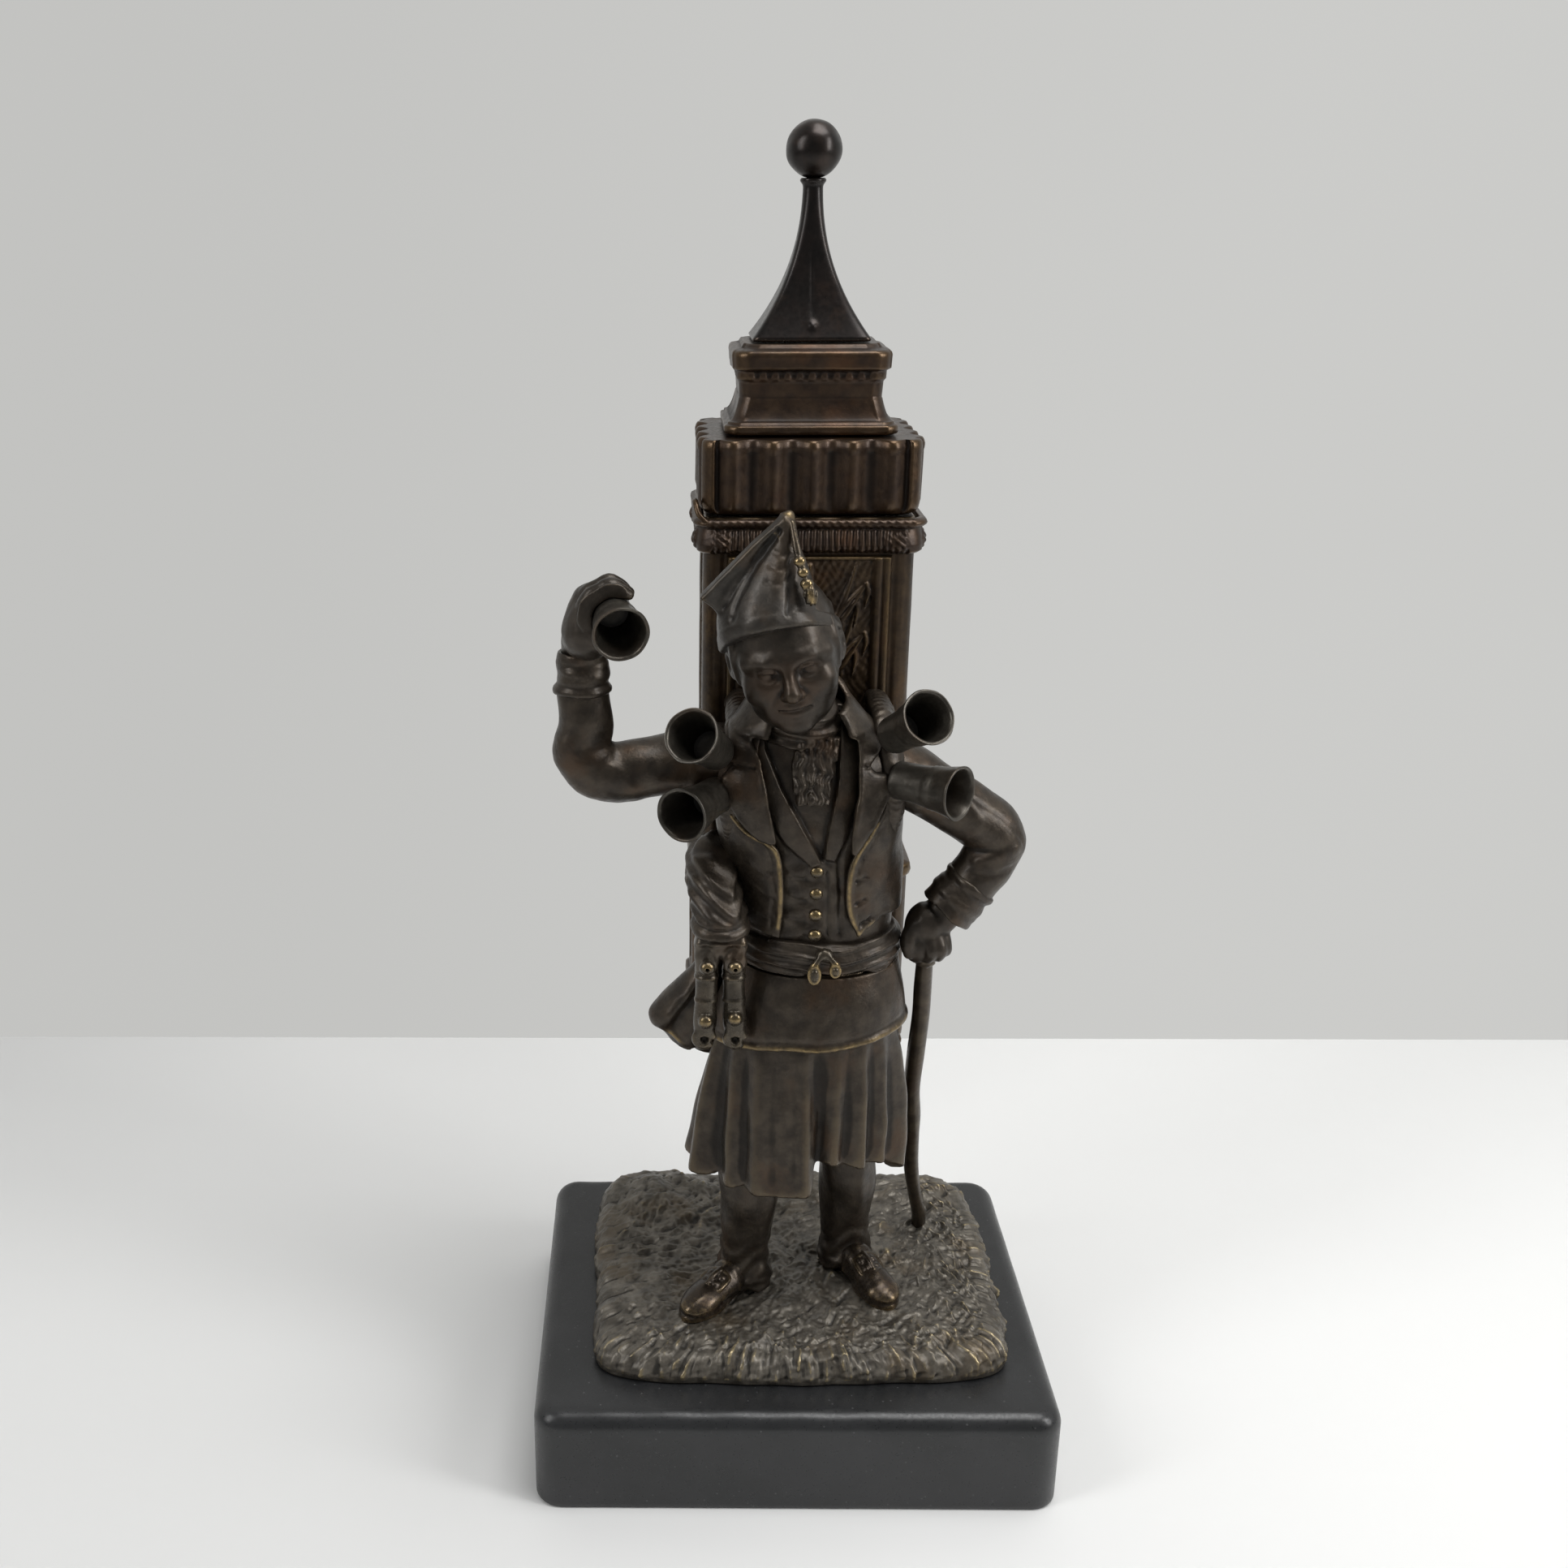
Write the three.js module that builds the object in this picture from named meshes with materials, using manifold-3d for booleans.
// Table vesta case: a cast bronze drink seller on a stone plinth, with a lidded box on the back.
// Millimetres, +Z up, the figure faces -Y, origin at the middle of the plinth's underside.

import * as THREE from 'three';
import Module from 'manifold-3d';
import { mergeVertices } from 'three/addons/utils/BufferGeometryUtils.js';

// Driving sizes of the stone, its fixing and the terrain

const CLEARANCE = 0.3;
const PLINTH_WIDTH = 88;
const PLINTH_DEPTH = 71.4;
const PLINTH_HEIGHT = 18.4;
const PLINTH_CORNER_RADIUS = 4;
const PLINTH_EDGE_RADIUS = 3.2;
const STUD_RADIUS = 2.5;
const STUD_GRIP = 3;
const COUNTERBORE_RADIUS = 9;
const COUNTERBORE_DEPTH = 7;
const WASHER_RADIUS = 7.5;
const WASHER_THICKNESS = 1.2;
const NUT_RADIUS = 5.2;
const NUT_HEIGHT = 3.2;
const GROUND_SETBACK_X = 7.7;
const GROUND_SETBACK_Y = 6.7;
const GROUND_SHIFT_X = 1.2;
const GROUND_SHIFT_Y = 2;
const GROUND_THICKNESS = 4.7;
const GROUND_SQUARENESS = 7;
const MOUND_HEIGHT = 3;
const TUFT_HEIGHT = 0.6;
const TUFT_PITCH = 9.5;

// Driving sizes of the feet and legs. Heights are above the terrain.

const SHOE_LENGTH = 18.4;
const SHOE_WIDTH = 7.4;
const SHOE_HEIGHT = 6.4;
const RIGHT_HEEL = [-6.6, -3.4];
const LEFT_HEEL = [9.8, 2.6];
const RIGHT_TOE_OUT = 41;
const LEFT_TOE_OUT = 25.5;
const BUCKLE_WIDTH = 4.4;
const BUCKLE_THICKNESS = 1;
const ANKLE_HEIGHT = 3.4;
const ANKLE_WIDTH = 8;
const KNEE_WIDTH = 9.8;

// Driving sizes of the clothes and the trunk. Each rise is above the level before it.

const BODY_Y = -7.2;
const HEM_HEIGHT = 26.6;
const HEM_WIDTH = 38.4;
const HEM_DEPTH = 26;
const HEM_X = 0.9;
const HIP_HEIGHT = 50;
const HIP_WIDTH = 31;
const HIP_DEPTH = 21.6;
const HIP_X = 1.8;
const PLEATS = 14;
const PLEAT_DEPTH = 0.55;
const SLIT_X = 3;
const SLIT_RISE = 4.8;
const APRON_HEM_HEIGHT = 52.6;
const APRON_THICKNESS = 1.4;
const SASH_BASE_HEIGHT = 66.2;
const SASH_HEIGHT = 5.8;
const SASH_THICKNESS = 1.9;
const KNOT_X = 3.2;
const TASSEL_LENGTH = 5;
const TASSEL_RADIUS = 1.3;
const WAIST_RISE = 1.6;
const WAIST_WIDTH = 24.2;
const WAIST_DEPTH = 17;
const WAIST_X = 2.9;
const CHEST_RISE = 17.4;
const CHEST_WIDTH = 26.6;
const CHEST_DEPTH = 18.2;
const CHEST_X = 1;
const SHOULDER_RISE = 12;
const SHOULDER_WIDTH = 26;
const SHOULDER_DEPTH = 14;
const NECK_RISE = 7;
const NECK_WIDTH = 9.6;
const NECK_X = -1;
const JACKET_THICKNESS = 1.5;
const JACKET_OPENING = 12;
const LAPEL_WIDTH = 4.6;
const LAPEL_THICKNESS = 2.6;
const BUTTON_RADIUS = 1;
const BUTTON_PITCH = 4.1;
const BUTTON_COUNT = 4;
const BUTTON_X = 2.3;
const CRAVAT_DROP = 13;
const CRAVAT_WIDTH = 4.4;
const STRAP_WIDTH = 5;
const STRAP_THICKNESS = 3.2;

// Driving sizes of the head and the hat

const HEAD_TILT = 12;
const HEAD_NOD = 10;
const HEAD_WIDTH = 17;
const HEAD_DEPTH = 17.6;
const HEAD_HEIGHT = 23;
const HAT_HEIGHT = 13.2;
const HAT_WIDTH = 19.2;
const HAT_DEPTH = 19.4;
const HAT_LEAN = 4.3;
const BRIM_SLOPE = 34;
const WING_LENGTH = 10.9;
const WING_THICKNESS = 2.4;

// Driving sizes of the arms and the stick

const ARM_RADIUS = 5;
const FOREARM_RADIUS = 4.3;
const CUFF_RADIUS = 4.9;
const CUFF_LENGTH = 6.5;
const HAND_RADIUS = 4.9;
// From each joint of an arm to the next: shoulder, elbow, wrist, hand
const RIGHT_UPPER_ARM = [-21, -2.8, -2.6];
const RIGHT_FOREARM = [-0.8, 0, 13.8];
const LEFT_UPPER_ARM = [20.2, 0, -12];
const LEFT_FOREARM = [-3.4, -0.8, -9.2];
const LEFT_REACH = [-7.4, -0.6, -8.8];
const STICK_RADIUS = 1.3;
const STICK_FOOT = [26, 12];

// Driving sizes of the cups and the taps

const CUP_LENGTH = 11.4;
const CUP_MOUTH_RADIUS = 4.2;
const CUP_NECK_RADIUS = 3;
const CUP_WALL = 0.55;
const CUP_FLOOR = 3;
// Each cup: from the right wrist or the middle of the shoulders to its mouth, then the way it points
const RAISED_CUP = [[6.4, -13.4, 12.8], [0.2, -1, -0.3]];
const CHEST_CUPS = [
  [[-19.2, -16, 6.4], [-0.36, -0.8, 0.5]],
  [[-20.6, -15.4, -6.6], [-0.5, -0.86, 0.02]],
  [[15.9, -15.8, 9.2], [0.34, -0.8, 0.52]],
  [[21.6, -13.4, -3.8], [0.74, -0.66, 0.04]],
];
const TAP_SLEEVE_RADIUS = 4.5;
const TAP_PITCH = 4.4;
const TAP_RADIUS = 1.7;
const TAP_LENGTH = 12.6;
const MANIFOLD_HEIGHT = 6;
const MANIFOLD_DEPTH = 4.6;
// From the middle of the sash's lower edge to the end of the tap sleeve
const SLEEVE_REACH = [-16.1, -8.6, 8.2];
const KEY_RADIUS = 1.3;
const KEY_LENGTH = 2.6;
const CLOTH_WIDTH = 10.4;
const CLOTH_DROP = 16;
const CLOTH_RISE = 2.4;

// Driving sizes of the tank and its lid

const TANK_WIDTH = 33.4;
const TANK_DEPTH = 26.4;
const TANK_X = 0.8;
const TANK_FRONT_Y = 2.4;
const TANK_BASE_HEIGHT = 44.6;
const TANK_SHAFT_HEIGHT = 92.2;
const TANK_CHAMFER = 1.8;
const TANK_WALL = 2;
const SOCLE_HEIGHT = 35;
const SOCLE_PROJECTION = 2.2;
const WELL_DEPTH = 62;
const WELL_FLOOR = 2.5;
const FOOT_THICKNESS = 3.4;
const PANEL_WIDTH = 26;
const PANEL_THICKNESS = 1;
const PANEL_BORDER = 4.9;
const PANEL_RECESS = 0.7;
const FRONT_RECESS = 0.36;
const FIELD_FOOT = 3.6;
const SOCLE_FIELD_FOOT = 5.2;
const SOCLE_FIELD_HEAD = 6.5;
const LEAF_PITCH = 4;
const LEAF_RISE = 13.5;
const LEAF_WIDTH = 2;
const CORD_HEIGHT = 5.6;
const CORD_PROJECTION = 1.5;
const CAPITAL_HEIGHT = 11.8;
const CAPITAL_PROJECTION = 0.9;
const CAPITAL_TOP_PLATE = 2.6;
const FLUTE_PITCH = 6.3;
const FLUTE_DEPTH = 0.7;
const LID_WIDTH = 27.2;
const LID_DEPTH = 21.8;
const LID_HEIGHT = 13.6;
const PLUG_DEPTH = 4;
const PLUG_INSET = 2.8;
const PLUG_PLAY = 0.4;
const SPIRE_WIDTH = 19.1;
const SPIRE_DEPTH = 14.5;
const SPIRE_HEIGHT = 24.4;
const SPIRE_TIP_RADIUS = 1.6;
const BALL_RADIUS = 4.3;

// Finishes

const BRONZE = { color: 0x3a3026, roughness: 0.42, metalness: 0.85 };
const DARK_BRONZE = { color: 0x28231f, roughness: 0.36, metalness: 0.85 };
const RUBBED_BRONZE = { color: 0x8a6a3a, roughness: 0.32, metalness: 0.9 };
const RED_BRONZE = { color: 0x4a3022, roughness: 0.45, metalness: 0.8 };
const BLACK_BRONZE = { color: 0x17120f, roughness: 0.25, metalness: 0.8 };
const BLACK_STONE = { color: 0x2c2d2f, roughness: 0.35, metalness: 0 };
const STEEL = { color: 0x8d8f92, roughness: 0.4, metalness: 1 };

const SIDES = 18;
const LIMB_SIDES = 12;
const SPIRE_SIDES = 16;
const TERRAIN_SIDES = 60;
const TERRAIN_RINGS = 13;
const REACH = 200;

const wasm = await Module();
wasm.setup();

// Heights of the model's levels, and the joints that hang on them

const figureLevel = PLINTH_HEIGHT + CLEARANCE + GROUND_THICKNESS;
const tankTop = TANK_BASE_HEIGHT + TANK_SHAFT_HEIGHT;
const capitalBase = tankTop + CLEARANCE;
const capitalTop = capitalBase + CAPITAL_HEIGHT;
const lidBase = capitalTop + CLEARANCE;
const tankMiddleY = TANK_FRONT_Y + TANK_DEPTH / 2;
const sashTop = SASH_BASE_HEIGHT + SASH_HEIGHT;
const waistHeight = sashTop + WAIST_RISE;
const chestHeight = waistHeight + CHEST_RISE;
const shoulderHeight = chestHeight + SHOULDER_RISE;
const neckHeight = shoulderHeight + NECK_RISE;

const offset = (from, by) => from.map((value, i) => value + by[i]);
const shoulderX = SHOULDER_WIDTH / 2 - 1;
const rightShoulder = [NECK_X - shoulderX, BODY_Y, shoulderHeight - 2.2];
const leftShoulder = [NECK_X + shoulderX, BODY_Y, shoulderHeight - 2.4];
const rightElbow = offset(rightShoulder, RIGHT_UPPER_ARM);
const rightWrist = offset(rightElbow, RIGHT_FOREARM);
const leftElbow = offset(leftShoulder, LEFT_UPPER_ARM);
const leftWrist = offset(leftElbow, LEFT_FOREARM);
const leftHand = offset(leftWrist, LEFT_REACH);
const sleeveEnd = offset([WAIST_X, BODY_Y, SASH_BASE_HEIGHT], SLEEVE_REACH);

const model = new THREE.Group();
const figure = new THREE.Group();
figure.position.z = figureLevel;
model.add(figure);
const head = new THREE.Group();
head.position.set(NECK_X - 0.4, BODY_Y - 3.4, neckHeight - 1.6);
head.rotation.set(THREE.MathUtils.degToRad(HEAD_NOD), -THREE.MathUtils.degToRad(HEAD_TILT), 0);
figure.add(head);

// Closed skins over rings of points

function skin(rings) {
  const sides = rings[0].length;
  const points = rings.flat();
  const middle = (ring) => ring.reduce((sum, p) => sum.add(p), new THREE.Vector3()).divideScalar(sides);
  const first = points.push(middle(rings[0])) - 1;
  const last = points.push(middle(rings[rings.length - 1])) - 1;
  const faces = [];
  for (let i = 0; i < sides; i++) {
    const next = (i + 1) % sides;
    for (let k = 0; k + 1 < rings.length; k++) {
      const low = k * sides;
      const high = low + sides;
      faces.push(low + i, low + next, high + next, low + i, high + next, high + i);
    }
    const top = (rings.length - 1) * sides;
    faces.push(first, next, i, last, top + i, top + next);
  }
  const geometry = new THREE.BufferGeometry().setFromPoints(points);
  geometry.setIndex(faces);
  return facingOut(geometry);
}

function facingOut(geometry) {
  const { position } = geometry.attributes;
  const at = (i) => new THREE.Vector3().fromBufferAttribute(position, geometry.index.array[i]);
  let volume = 0;
  for (let i = 0; i < geometry.index.count; i += 3) {
    volume += at(i).dot(at(i + 1).cross(at(i + 2)));
  }
  if (volume < 0) {
    const turned = [...geometry.index.array];
    for (let i = 0; i < turned.length; i += 3) {
      [turned[i + 1], turned[i + 2]] = [turned[i + 2], turned[i + 1]];
    }
    geometry.setIndex(turned);
  }
  return geometry;
}

// A point on a rounded outline: power 2 is an ellipse, higher powers are squarer
function onOutline(angle, halfWidth, halfDepth, power) {
  const c = Math.cos(angle);
  const s = Math.sin(angle);
  const scale = (Math.abs(c) ** power + Math.abs(s) ** power) ** (-1 / power);
  return [halfWidth * c * scale, halfDepth * s * scale];
}

// Horizontal rings: each level is [height, x, y, width, depth]
function stack(levels, { sides = SIDES, power = 2, fold = () => 0 } = {}) {
  return skin(levels.map(([height, x, y, width, depth], k) => Array.from({ length: sides }, (_, i) => {
    const angle = (2 * Math.PI * i) / sides;
    const out = fold(i, k);
    const [dx, dy] = onOutline(angle, width / 2 + out, depth / 2 + out, power);
    return new THREE.Vector3(x + dx, y + dy, height);
  })));
}

// Rings square to a smooth line: each station is [x, y, z, width, depth], depth lies along facing
function limb(stations, { sides = LIMB_SIDES, steps = 10, facing = [0, -1, 0], dome = 0 } = {}) {
  const line = new THREE.CatmullRomCurve3(stations.map(([x, y, z]) => new THREE.Vector3(x, y, z)));
  const girth = new THREE.CatmullRomCurve3(
    stations.map(([, , , w, d]) => new THREE.Vector3(w / 2, d / 2, 0)),
  );
  const front = new THREE.Vector3(...facing);
  const ringAt = (t, shrink, slide) => {
    const along = line.getTangent(t).normalize();
    const side = new THREE.Vector3().crossVectors(along, front).normalize();
    const deep = new THREE.Vector3().crossVectors(side, along);
    const size = girth.getPoint(t);
    const middle = line.getPoint(t).addScaledVector(along, slide);
    return Array.from({ length: sides }, (_, i) => {
      const angle = (2 * Math.PI * i) / sides;
      return middle.clone()
        .addScaledVector(side, Math.cos(angle) * size.x * shrink)
        .addScaledVector(deep, Math.sin(angle) * size.y * shrink);
    });
  };
  const rings = Array.from({ length: steps + 1 }, (_, k) => ringAt(k / steps, 1, 0));
  if (dome > 0) {
    rings.unshift(ringAt(0, 0.55, -dome));
    rings.push(ringAt(1, 0.55, dome));
  }
  return skin(rings);
}

// A vertical-sided plate with any outline
function plate(outline, height, base) {
  return new THREE.ExtrudeGeometry(new THREE.Shape(outline), { depth: height, bevelEnabled: false })
    .translate(0, 0, base);
}

// A rectangle with cut corners, centred on the tank's axis
function cutCornered(width, depth, chamfer) {
  const x = width / 2;
  const y = depth / 2;
  const c = chamfer;
  const corners = [
    [x, c - y], [x, y - c], [x - c, y], [c - x, y], [-x, y - c], [-x, c - y], [c - x, -y], [x - c, -y],
  ];
  return corners.map(([px, py]) => new THREE.Vector2(TANK_X + px, tankMiddleY + py));
}

// Rings of a cut-cornered rectangle: each level is [height, width, depth, y shift]
function mouldings(levels, chamfer) {
  return skin(levels.map(([height, width, depth, shift = 0]) => cutCornered(width, depth, chamfer)
    .map((p) => new THREE.Vector3(p.x, p.y + shift, height))));
}

function block(x0, x1, y0, y1, z0, z1) {
  return new THREE.BoxGeometry(x1 - x0, y1 - y0, z1 - z0)
    .translate((x0 + x1) / 2, (y0 + y1) / 2, (z0 + z1) / 2);
}

function disc(radius, height, base, sides = SIDES) {
  return new THREE.CylinderGeometry(radius, radius, height, sides).rotateX(Math.PI / 2)
    .translate(0, 0, base + height / 2);
}

function ball(x, y, z, rx, ry, rz, sides = 12) {
  return new THREE.SphereGeometry(1, sides, sides / 2 + 1).scale(rx, ry, rz).translate(x, y, z);
}

// Solids: joined, cut and kept a clearance away from their neighbours

function welded(geometry) {
  const bare = geometry.clone();
  bare.deleteAttribute('normal');
  bare.deleteAttribute('uv');
  const merged = mergeVertices(bare, 1e-4);
  const kept = [];
  for (let i = 0; i < merged.index.count; i += 3) {
    const [a, b, c] = merged.index.array.slice(i, i + 3);
    if (a !== b && b !== c && c !== a) kept.push(a, b, c);
  }
  merged.setIndex(kept);
  return merged;
}

function solidOf(geometry) {
  const { attributes, index } = welded(geometry);
  const mesh = new wasm.Mesh({
    numProp: 3,
    vertProperties: Float32Array.from(attributes.position.array),
    triVerts: Uint32Array.from(index.array),
  });
  mesh.merge();
  return new wasm.Manifold(mesh);
}

// The same skin with every face moved out by a clearance
function grown(geometry, by = CLEARANCE) {
  const skinned = welded(geometry);
  const { position } = skinned.attributes;
  const faceNormals = Array.from({ length: position.count }, () => []);
  const corner = (i) => new THREE.Vector3().fromBufferAttribute(position, i);
  for (let i = 0; i < skinned.index.count; i += 3) {
    const [a, b, c] = skinned.index.array.slice(i, i + 3);
    const normal = corner(b).sub(corner(a)).cross(corner(c).sub(corner(a))).normalize();
    for (const v of [a, b, c]) faceNormals[v].push(normal);
  }
  for (let v = 0; v < position.count; v++) {
    const move = new THREE.Vector3();
    for (let round = 0; round < 12; round++) {
      for (const n of faceNormals[v]) move.addScaledVector(n, Math.max(0, by - n.dot(move)));
    }
    move.clampLength(0, 2.5 * by).add(corner(v));
    position.setXYZ(v, move.x, move.y, move.z);
  }
  return skinned;
}

const formsOf = new Map();

// Forms are joined, then cut, then given raised details that stay below the forms' own skin
function piece(parent, name, finish, forms, options = {}) {
  const { at = [0, 0, 0], turn = null, clear = [], cut = [], raised = [] } = options;
  const mesh = new THREE.Mesh(undefined, new THREE.MeshStandardMaterial(finish));
  mesh.name = name;
  mesh.position.set(...at);
  if (turn) mesh.quaternion.copy(turn);
  parent.add(mesh);
  model.updateMatrixWorld(true);
  const toOwnFrame = mesh.matrixWorld.clone().invert();
  let solid = forms.map(solidOf).reduce((whole, part) => whole.add(part));
  for (const tool of cut) solid = solid.subtract(solidOf(tool));
  for (const detail of raised) solid = solid.add(solidOf(detail));
  for (const neighbour of clear) {
    for (const form of formsOf.get(neighbour)) {
      solid = solid.subtract(solidOf(grown(form).applyMatrix4(toOwnFrame)));
    }
  }
  const largest = solid.decompose().sort((a, b) => b.volume() - a.volume())[0].simplify(0.02);
  const { vertProperties, triVerts } = largest.getMesh();
  mesh.geometry = new THREE.BufferGeometry();
  mesh.geometry.setAttribute('position', new THREE.BufferAttribute(vertProperties, 3));
  mesh.geometry.setIndex(new THREE.BufferAttribute(triVerts, 1));
  mesh.geometry.computeVertexNormals();
  formsOf.set(name, forms.map((form) => form.clone().applyMatrix4(mesh.matrixWorld)));
  return mesh;
}

// Stone plinth and its fixing

function roundedSlab(width, depth, height, corner, edge) {
  const shape = new THREE.Shape();
  const x = width / 2 - edge;
  const y = depth / 2 - edge;
  const r = corner - edge * 0.5;
  const middles = [[x - r, y - r], [r - x, y - r], [r - x, r - y], [x - r, r - y]];
  shape.moveTo(x, y - r);
  middles.forEach(([cx, cy], quarter) => {
    shape.absarc(cx, cy, r, (quarter * Math.PI) / 2, ((quarter + 1) * Math.PI) / 2);
  });
  const rounding = { bevelThickness: edge, bevelSize: edge, bevelSegments: 3, curveSegments: 4 };
  return new THREE.ExtrudeGeometry(shape, { depth: height, ...rounding }).translate(0, 0, -edge);
}

const studBase = COUNTERBORE_DEPTH - WASHER_THICKNESS - NUT_HEIGHT - 3 * CLEARANCE;
const studTop = PLINTH_HEIGHT + CLEARANCE + STUD_GRIP;
piece(model, 'fixing_stud', STEEL, [disc(STUD_RADIUS, studTop - studBase, studBase, 12)]);
piece(model, 'plinth', BLACK_STONE, [
  roundedSlab(PLINTH_WIDTH, PLINTH_DEPTH, PLINTH_HEIGHT, PLINTH_CORNER_RADIUS, PLINTH_EDGE_RADIUS),
], {
  clear: ['fixing_stud'],
  cut: [
    block(-REACH, REACH, -REACH, REACH, -REACH, 0),
    disc(COUNTERBORE_RADIUS, COUNTERBORE_DEPTH + 1, -1),
    block(-REACH, REACH, -REACH, REACH, PLINTH_HEIGHT, REACH),
  ],
});
const washerBase = COUNTERBORE_DEPTH - CLEARANCE - WASHER_THICKNESS;
piece(model, 'fixing_washer', STEEL, [disc(WASHER_RADIUS, WASHER_THICKNESS, washerBase, 16)], {
  clear: ['fixing_stud'],
});
piece(model, 'fixing_nut', STEEL, [disc(NUT_RADIUS, NUT_HEIGHT, washerBase - CLEARANCE - NUT_HEIGHT, 6)], {
  clear: ['fixing_stud'],
});

// Terrain plate: a flat underside, steep rounded sides, low mounds behind the figure and rows of tufts

const groundHalfWidth = PLINTH_WIDTH / 2 - GROUND_SETBACK_X;
const groundHalfDepth = PLINTH_DEPTH / 2 - GROUND_SETBACK_Y;
function groundTop(x, y) {
  const mound = (shareX, shareY, shareSpread) => {
    const away = Math.hypot(x - shareX * groundHalfWidth, y - shareY * groundHalfDepth);
    return Math.exp(-((away / (shareSpread * groundHalfDepth)) ** 2));
  };
  const mounds = mound(-0.66, 0.69, 0.31) + 0.6 * mound(0.11, 0.93, 0.28) + 0.5 * mound(0.8, 0.83, 0.24);
  const turn = (2 * Math.PI) / TUFT_PITCH;
  const tufts = Math.sin(turn * x + 1.3 * Math.sin(0.2 * y)) * Math.sin(turn * y + 1.5 * Math.sin(0.17 * x));
  return GROUND_THICKNESS + MOUND_HEIGHT * mounds + TUFT_HEIGHT * Math.max(0, tufts);
}

function terrain() {
  const ring = (share, height) => Array.from({ length: TERRAIN_SIDES }, (_, i) => {
    const angle = (2 * Math.PI * i) / TERRAIN_SIDES;
    const wave = share * (1 + 0.012 * Math.sin(3 * angle + 0.6) + 0.008 * Math.sin(7 * angle));
    const [dx, dy] = onOutline(angle, groundHalfWidth * wave, groundHalfDepth * wave, GROUND_SQUARENESS);
    const x = GROUND_SHIFT_X + dx;
    const y = GROUND_SHIFT_Y + dy;
    return new THREE.Vector3(x, y, height * groundTop(x, y));
  });
  const flat = Array.from({ length: TERRAIN_RINGS }, (_, k) => ring(0.93 * (1 - k / TERRAIN_RINGS), 1));
  return skin([ring(1, 0), ring(1, 0.5), ring(0.96, 0.85), ...flat])
    .translate(0, 0, PLINTH_HEIGHT + CLEARANCE);
}
piece(model, 'ground_plate', BRONZE, [terrain()], { clear: ['fixing_stud'] });

// Tank shaft: a well for the matches opens upwards, a casting hollow opens downwards

const socleTop = TANK_BASE_HEIGHT + SOCLE_HEIGHT;
const innerWidth = TANK_WIDTH - 2 * TANK_WALL;
const innerDepth = TANK_DEPTH - 2 * TANK_WALL;
const wellBase = capitalTop - WELL_DEPTH;
const socleWidth = TANK_WIDTH + 2 * SOCLE_PROJECTION;
const socleDepth = TANK_DEPTH + SOCLE_PROJECTION;
const backShift = SOCLE_PROJECTION / 2;
const cordBase = tankTop - CORD_HEIGHT;

// The right, left and back sides of the tank: the way each one faces, the way along it,
// its distance from the tank's axis and its width
const tankSides = [
  { out: [1, 0, 0], along: [0, 1, 0], reach: TANK_WIDTH / 2, width: TANK_DEPTH },
  { out: [-1, 0, 0], along: [0, -1, 0], reach: TANK_WIDTH / 2, width: TANK_DEPTH },
  { out: [0, 1, 0], along: [-1, 0, 0], reach: TANK_DEPTH / 2, width: TANK_WIDTH },
];

// A shallow field sunk into one side, the same distance in from its edges
function sunkField({ out, along, reach, width }, socle, low, high) {
  const projection = socle ? SOCLE_PROJECTION : 0;
  const half = width / 2 - PANEL_BORDER + projection / 2;
  const middleY = tankMiddleY + (socle && out[1] === 0 ? backShift : 0);
  const floor = reach + projection - PANEL_RECESS;
  const corner = (side, far) => [0, 1].map((axis) => out[axis] * far + along[axis] * side * half);
  const [x0, y0] = corner(-1, floor);
  const [x1, y1] = corner(1, floor + 2 * PANEL_RECESS);
  return block(
    TANK_X + Math.min(x0, x1), TANK_X + Math.max(x0, x1),
    middleY + Math.min(y0, y1), middleY + Math.max(y0, y1), low, high,
  );
}

// An upright spray of long leaves, one after another on both sides of its stem, half sunk into a flat floor
function spray(middle, out, along, half, low, high) {
  const at = (u, height) => [middle[0] + along[0] * u, middle[1] + along[1] * u, height];
  const thick = 2 * (PANEL_RECESS - 0.1);
  const stem = limb([
    [...at(0, low + 0.5), 0.9, thick], [...at(0.4, (low + high) / 2), 0.8, thick],
    [...at(0, high - 1.5), 0.6, thick],
  ], { sides: 6, steps: 5, facing: out });
  const leaves = Math.floor((high - low - LEAF_RISE - 1) / LEAF_PITCH);
  return [stem, ...Array.from({ length: leaves }, (_, k) => {
    const side = k % 2 === 0 ? 1 : -1;
    const root = low + 1 + k * LEAF_PITCH;
    return limb([
      [...at(0, root), 0.6, thick],
      [...at(side * half * 0.26, root + LEAF_RISE * 0.32), LEAF_WIDTH, thick],
      [...at(side * half * 0.6, root + LEAF_RISE * 0.7), LEAF_WIDTH, thick],
      [...at(side * half * 0.9, root + LEAF_RISE), 0.4, thick * 0.7],
    ], { sides: 6, steps: 4, facing: out });
  })];
}
const fieldLow = socleTop + FIELD_FOOT;
const fieldHigh = cordBase - CLEARANCE;
const socleFieldLow = TANK_BASE_HEIGHT + SOCLE_FIELD_FOOT;
const socleFieldHigh = socleTop - SOCLE_FIELD_HEAD;
const sprays = tankSides.flatMap(({ out, along, reach, width }) => {
  const floor = reach - PANEL_RECESS;
  const middle = [TANK_X + out[0] * floor, tankMiddleY + out[1] * floor];
  return spray(middle, out, along, width / 2 - PANEL_BORDER, fieldLow, fieldHigh);
});
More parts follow.
